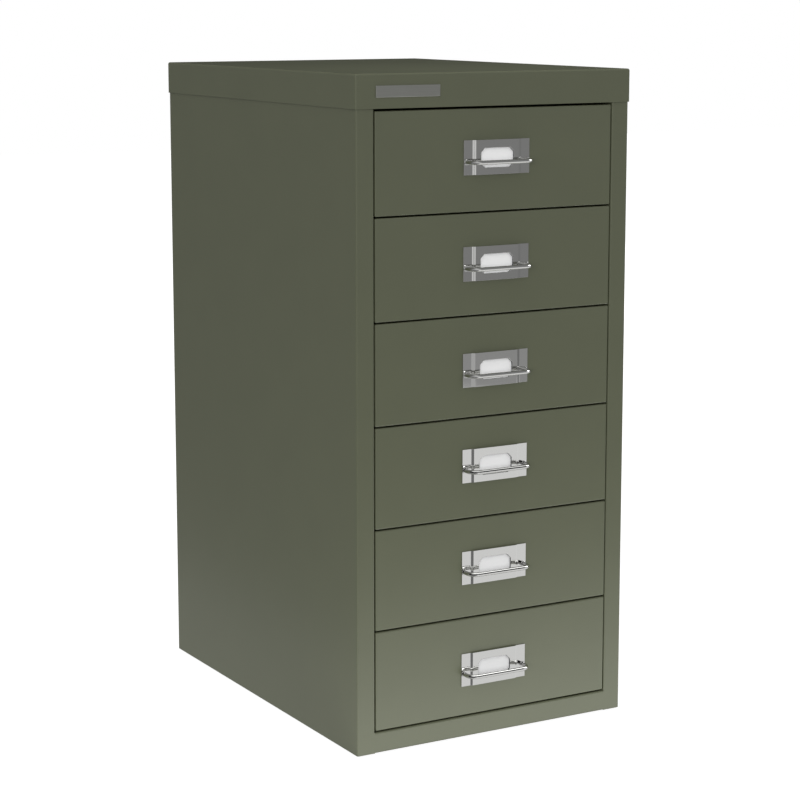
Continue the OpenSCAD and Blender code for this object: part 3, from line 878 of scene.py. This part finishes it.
# %% Floor in the chrome
CHROME_FLOOR = {"bright": ((-0.05, 1.6), (-1.5, -0.1), 0.66),
                "grey_front": ((-1.6, 0.9), (-2.95, -1.5), 0.3),
                "grey_right": ((0.9, 1.8), (-2.4, -1.5), 0.14)}
LOW_CARD = ((-0.1, 0.6), (-0.265, -0.195), 0.085, 1.25)
RIM_PANEL = ((1.9, -0.6, 1.35), (1.1, 1.1), 4.0)
DISTANT_PANEL = ((-0.2, -2.85, 0.4), (2.4, 1.2), 0.35)
HANDLES_MIDDLE = Vector((0, -0.1, 0.3))

for name, (xs, ys, level) in CHROME_FLOOR.items():
    board("chrome_floor_" + name, flat(xs, ys, 2 * BOARD_Z), level, CHROME_ONLY)

xs, (far, near), above, level = LOW_CARD
for n in LOW_DRAWERS:
    low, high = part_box(f"drawer_{n}_pull")
    board(f"low_card_{n}", flat(xs, (near, far), (low.z + high.z) / 2 + above), level,
          PULLS_ONLY)


def upright(spot, width, height):
    """The corners of a rectangle that stands and faces the middle of the drawers."""
    facing = (HANDLES_MIDDLE - Vector(spot)).normalized()
    across = facing.cross((0, 0, 1)).normalized()
    up = facing.cross(across)
    return [Vector(spot) + i * across * width / 2 + j * up * height / 2
            for j in (-1, 1) for i in (-1, 1)]


for name, (spot, size, level), seen_by in (("rim_panel", RIM_PANEL, PULLS_ONLY),
                                           ("distant_panel", DISTANT_PANEL, CHROME_ONLY)):
    board(name, upright(spot, *size), level, seen_by)
print("chrome floor", ", ".join(CHROME_FLOOR), "and", len(LOW_DRAWERS), "cards, 2 panels")

# %% [markdown]
# ## The ring of greys
#
# At the height of the eye the paint, the lid and the upper chrome reflect the far ends of the
# studio: light on one side, dark on the other. A round wall carries these greys, as a slow
# gradient round its turn. A world picture could hold them too, but a wall can be kept off single
# pieces. Here it is kept off the lower pulls, so that a dark line runs along their wire.

# %% Ring
RING_RADIUS = 3
RING_HEIGHT = 4
RING_SIDES = 96
RING_LEVELS = ((0.0, 0.15), (0.1, 0.4), (0.167, 0.6), (0.21, 0.5), (0.29, 0.28), (0.36, 0.25),
               (0.5, 0.22), (0.58, 0.09), (0.64, 0.04), (0.72, 0.04), (0.78, 0.12),
               (0.833, 0.19), (0.9, 0.19), (1.0, 0.15))


def graded(tree, factor, stops):
    """A strength that follows stops of position and level, smoothly; it returns the socket."""
    ramp = add_node(tree, "ShaderNodeValToRGB", {"Fac": factor})
    ramp.color_ramp.interpolation = "EASE"
    marks = ramp.color_ramp.elements
    while len(marks) < len(stops):
        marks.new(0.5)
    for mark, (position, level) in zip(marks, stops):
        mark.position = position
        mark.color = [level] * 3 + [1]
    return ramp.outputs["Color"]


nothing_selected()
bpy.ops.mesh.primitive_cylinder_add(vertices=RING_SIDES, radius=RING_RADIUS, depth=RING_HEIGHT,
                                    location=(0, 0, RING_HEIGHT / 2))
ring = settle(bpy.context.object, "reflected_ring")
select(ring, "FACE", lambda face: face.normal.z < -0.5)
bpy.ops.mesh.delete(type="FACE")
bpy.ops.object.mode_set(mode="OBJECT")
material, tree, output, place = start_material("reflected_ring_glow")
turn = add_node(tree, "ShaderNodeTexGradient", {"Vector": place}, gradient_type="RADIAL")
strength = graded(tree, turn.outputs["Fac"], RING_LEVELS)
glow = add_node(tree, "ShaderNodeEmission", {"Strength": strength})
tree.links.new(glow.outputs["Emission"], output.inputs["Surface"])
ring.data.materials.append(material)
ring.visible_camera = ring.visible_diffuse = ring.visible_shadow = ring.visible_transmission = False
ring.light_linking.receiver_collection = ALL_BUT_LOW_PULLS
ring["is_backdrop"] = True
print("ring of", len(RING_LEVELS), "levels")

# %% [markdown]
# ## Light
#
# Most of the light is an even sky, as in a light tent. A large soft lamp at the left front gives
# the two visible sides nearly the same level, and a like one behind keeps the back readable. A
# small fill lights the cards alone and casts no shadow, so that they stay white behind their
# pulls. A strip over the lid's front lights the lid alone, brighter towards its front edge. The
# sky is white to the eye and in reflections. Sun lamps would give the same levels with hard
# shadows, which the soft photograph doesn't have.

# %% World and lamps
SKY_LIGHT = 0.86
WHITE = linear("#ffffff")
LAMPS = {"key": ((-3.2, -3.2, 1.0), (0, 0, 0.3), (1.8, 1.8), 43, None),
         "back_fill": ((2.6, 2.6, 1.2), (0, 0, 0.3), (1.8, 1.8), 40, None),
         "card_fill": ((0.4, -2.2, 0.4), (0, -0.2, 0.3), (0.8, 0.8), 5.5, CARDS_ONLY),
         "lid_strip": ((0, -0.13, 0.85), (0, -0.13, 0), (0.27, 0.05), 0.26, LID_ONLY)}
SHADOWLESS = ("card_fill",)

world = bpy.data.worlds.new("studio")
bpy.context.scene.world = world
world.use_nodes = True
tree = world.node_tree
tree.nodes.clear()
rays = add_node(tree, "ShaderNodeLightPath")
seen = add_node(tree, "ShaderNodeMath",
                {0: rays.outputs["Is Camera Ray"], 1: rays.outputs["Is Glossy Ray"]},
                operation="MAXIMUM")
seen = add_node(tree, "ShaderNodeMath",
                {0: seen.outputs["Value"], 1: rays.outputs["Is Transmission Ray"]},
                operation="MAXIMUM")
sky = add_node(tree, "ShaderNodeBackground", {"Color": WHITE, "Strength": SKY_LIGHT})
white = add_node(tree, "ShaderNodeBackground", {"Color": WHITE, "Strength": 1.0})
both = add_node(tree, "ShaderNodeMixShader",
                {0: seen.outputs["Value"], 1: sky.outputs["Background"],
                 2: white.outputs["Background"]})
add_node(tree, "ShaderNodeOutputWorld", {"Surface": both.outputs["Shader"]})

for name, (spot, target, (wide, high), watts, receivers) in LAMPS.items():
    light = bpy.data.lights.new(name, "AREA")
    light.shape = "RECTANGLE"
    light.size, light.size_y, light.energy = wide, high, watts
    light.use_shadow = name not in SHADOWLESS
    lamp = bpy.data.objects.new(name, light)
    bpy.context.scene.collection.objects.link(lamp)
    lamp.location = spot
    lamp.rotation_euler = (Vector(target) - Vector(spot)).to_track_quat("-Z", "Y").to_euler()
    lamp.visible_camera = lamp.visible_glossy = False
    lamp.light_linking.receiver_collection = receivers
print("sky", SKY_LIGHT, "lamps", ", ".join(LAMPS))

# %% [markdown]
#
# The dressed cabinet has to fill the same box as the CAD frame. Its size is printed in millimetres,
# so that a slip of a millimetre shows at once.

bpy.context.view_layer.update()
low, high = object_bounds()
print("size, mm", [round((b - a) / MM, 2) for a, b in zip(low, high)])
